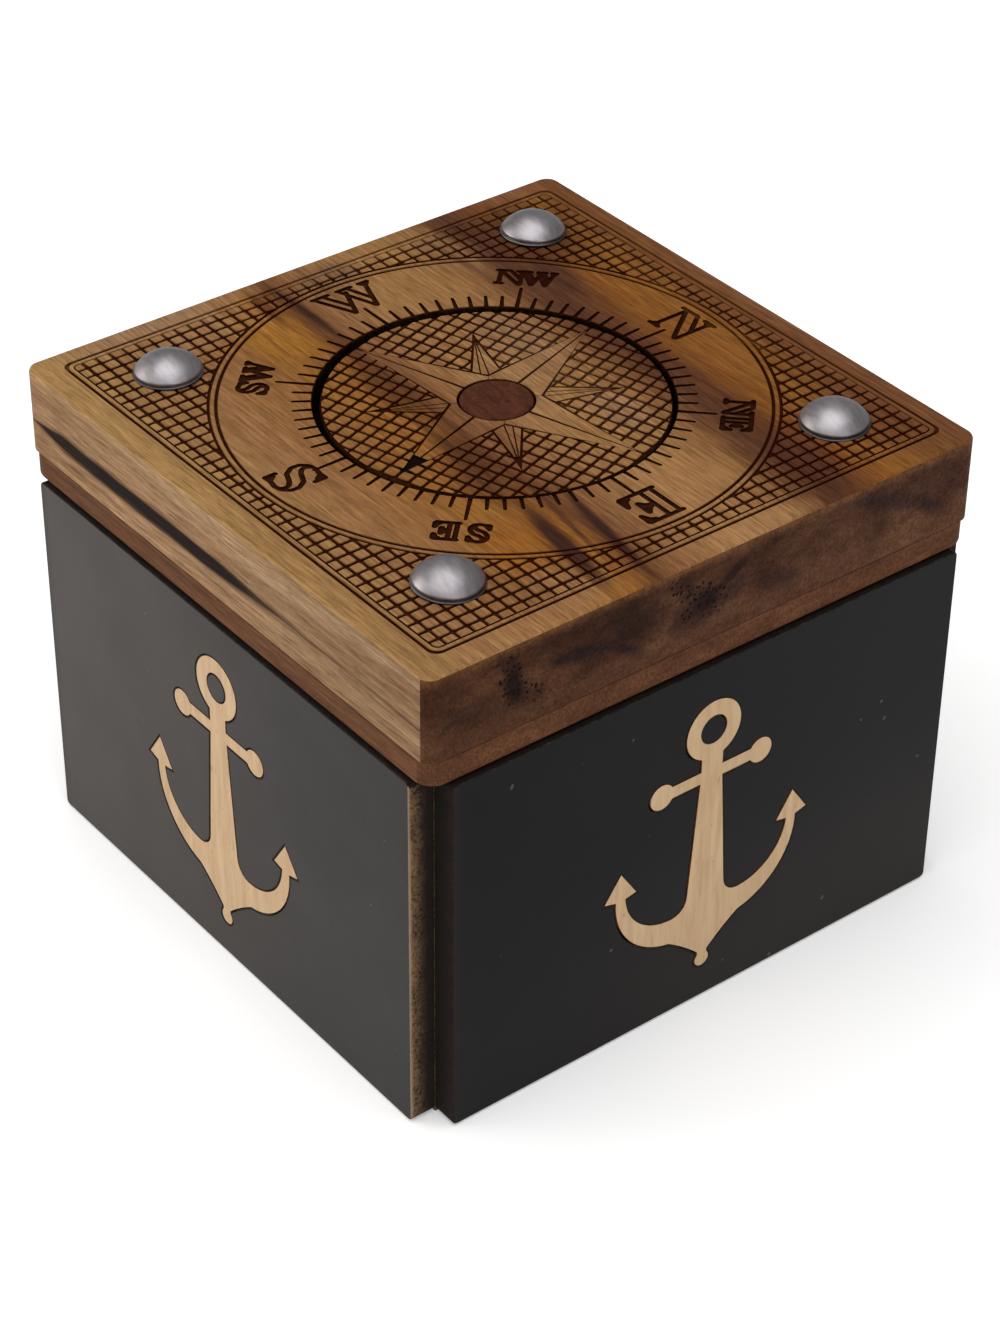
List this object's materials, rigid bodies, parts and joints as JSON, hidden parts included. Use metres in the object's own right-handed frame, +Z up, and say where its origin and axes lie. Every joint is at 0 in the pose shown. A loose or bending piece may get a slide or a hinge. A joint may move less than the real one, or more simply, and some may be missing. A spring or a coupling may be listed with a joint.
{
  "type": "puzzle box",
  "caption": "Square wooden puzzle box with sliding anchor-inlaid side panels and a lift-off lid whose compass dial throws hidden bolts.",
  "frame": {"origin": "centre of the box's bottom face", "axes": "+Z up, +Y towards the dial's north edge, +X towards its east edge"},
  "size_m": [0.097, 0.097, 0.0804],
  "materials": {
    "carcass_board": "sealed fibreboard, satin",
    "lid_wood": "oiled figured hardwood, laser-burnt hatch",
    "lower_wood": "oiled hardwood, satin",
    "carrier_wood": "planed hardwood",
    "hub_wood": "dark stained hardwood, satin",
    "hardwood": "planed maple",
    "plywood": "birch plywood",
    "black_panel": "black satin laminate on fibreboard",
    "inlay_wood": "flush maple inlay, satin",
    "nail_metal": "brushed pewter-grey dome",
    "steel_pin": "ground steel",
    "brass_screw": "plain brass",
    "nylon": "natural nylon"
  },
  "bodies": {
    "box": {"floor_board": "carcass_board", "wall_south": "carcass_board", "wall_east": "carcass_board", "wall_north": "carcass_board", "wall_west": "carcass_board"},
    "lid": {"lid_slab": "lid_wood", "lid_plate": "lower_wood", "bolt_carrier": "carrier_wood", "corner_nail_1": "nail_metal", "corner_nail_2": "nail_metal", "corner_nail_3": "nail_metal", "corner_nail_4": "nail_metal", "carrier_screw_1": "brass_screw", "carrier_screw_2": "brass_screw", "carrier_screw_3": "brass_screw", "carrier_screw_4": "brass_screw"},
    "dial": {"compass_disc": "lid_wood", "hub_plug": "hub_wood", "dial_shaft": "hardwood", "dial_washer": "nylon", "cam_plate": "plywood", "cam_screw": "brass_screw"},
    "panel_slider_south": {"panel_south": "black_panel", "anchor_south": "inlay_wood", "lock_runner_south": "hardwood", "guide_runner_south": "hardwood"},
    "panel_slider_east": {"panel_east": "black_panel", "anchor_east": "inlay_wood", "lock_runner_east": "hardwood", "guide_runner_east": "hardwood"},
    "panel_slider_north": {"panel_north": "black_panel", "anchor_north": "inlay_wood", "lock_runner_north": "hardwood", "guide_runner_north": "hardwood"},
    "panel_slider_west": {"panel_west": "black_panel", "anchor_west": "inlay_wood", "lock_runner_west": "hardwood", "guide_runner_west": "hardwood"},
    "lid_bolt_south": {"bolt_south": "hardwood", "bolt_pin_south": "steel_pin"},
    "lid_bolt_east": {"bolt_east": "hardwood", "bolt_pin_east": "steel_pin"},
    "lid_bolt_north": {"bolt_north": "hardwood", "bolt_pin_north": "steel_pin"},
    "lid_bolt_west": {"bolt_west": "hardwood", "bolt_pin_west": "steel_pin"}
  },
  "joints": [
    {"name": "lid_lift", "type": "slide", "parent": "box", "child": "lid", "axis": [0, 0, 1], "range_m": [0, 0.06]},
    {"name": "dial_turn", "type": "hinge", "parent": "lid", "child": "dial", "pos_m": [0, 0, 0.0767], "axis": [0, 0, 1], "range_deg": [-18, 72]},
    {"name": "panel_south_slide", "type": "slide", "parent": "box", "child": "panel_slider_south", "axis": [1, 0, 0], "range_m": [0, 0.004]},
    {"name": "panel_east_slide", "type": "slide", "parent": "box", "child": "panel_slider_east", "axis": [0, 1, 0], "range_m": [0, 0.004]},
    {"name": "panel_north_slide", "type": "slide", "parent": "box", "child": "panel_slider_north", "axis": [-1, 0, 0], "range_m": [0, 0.004]},
    {"name": "panel_west_slide", "type": "slide", "parent": "box", "child": "panel_slider_west", "axis": [0, -1, 0], "range_m": [0, 0.004]},
    {"name": "bolt_south_throw", "type": "slide", "parent": "lid", "child": "lid_bolt_south", "axis": [0, -1, 0], "range_m": [-0.0012, 0.0048]},
    {"name": "bolt_east_throw", "type": "slide", "parent": "lid", "child": "lid_bolt_east", "axis": [1, 0, 0], "range_m": [-0.0012, 0.0048]},
    {"name": "bolt_north_throw", "type": "slide", "parent": "lid", "child": "lid_bolt_north", "axis": [0, 1, 0], "range_m": [-0.0012, 0.0048]},
    {"name": "bolt_west_throw", "type": "slide", "parent": "lid", "child": "lid_bolt_west", "axis": [-1, 0, 0], "range_m": [-0.0012, 0.0048]}
  ],
  "couplings": [
    {"joint": "bolt_south_throw", "follows": "dial_turn", "m_per_rad": 0.0038197},
    {"joint": "bolt_east_throw", "follows": "dial_turn", "m_per_rad": 0.0038197},
    {"joint": "bolt_north_throw", "follows": "dial_turn", "m_per_rad": 0.0038197},
    {"joint": "bolt_west_throw", "follows": "dial_turn", "m_per_rad": 0.0038197}
  ]
}
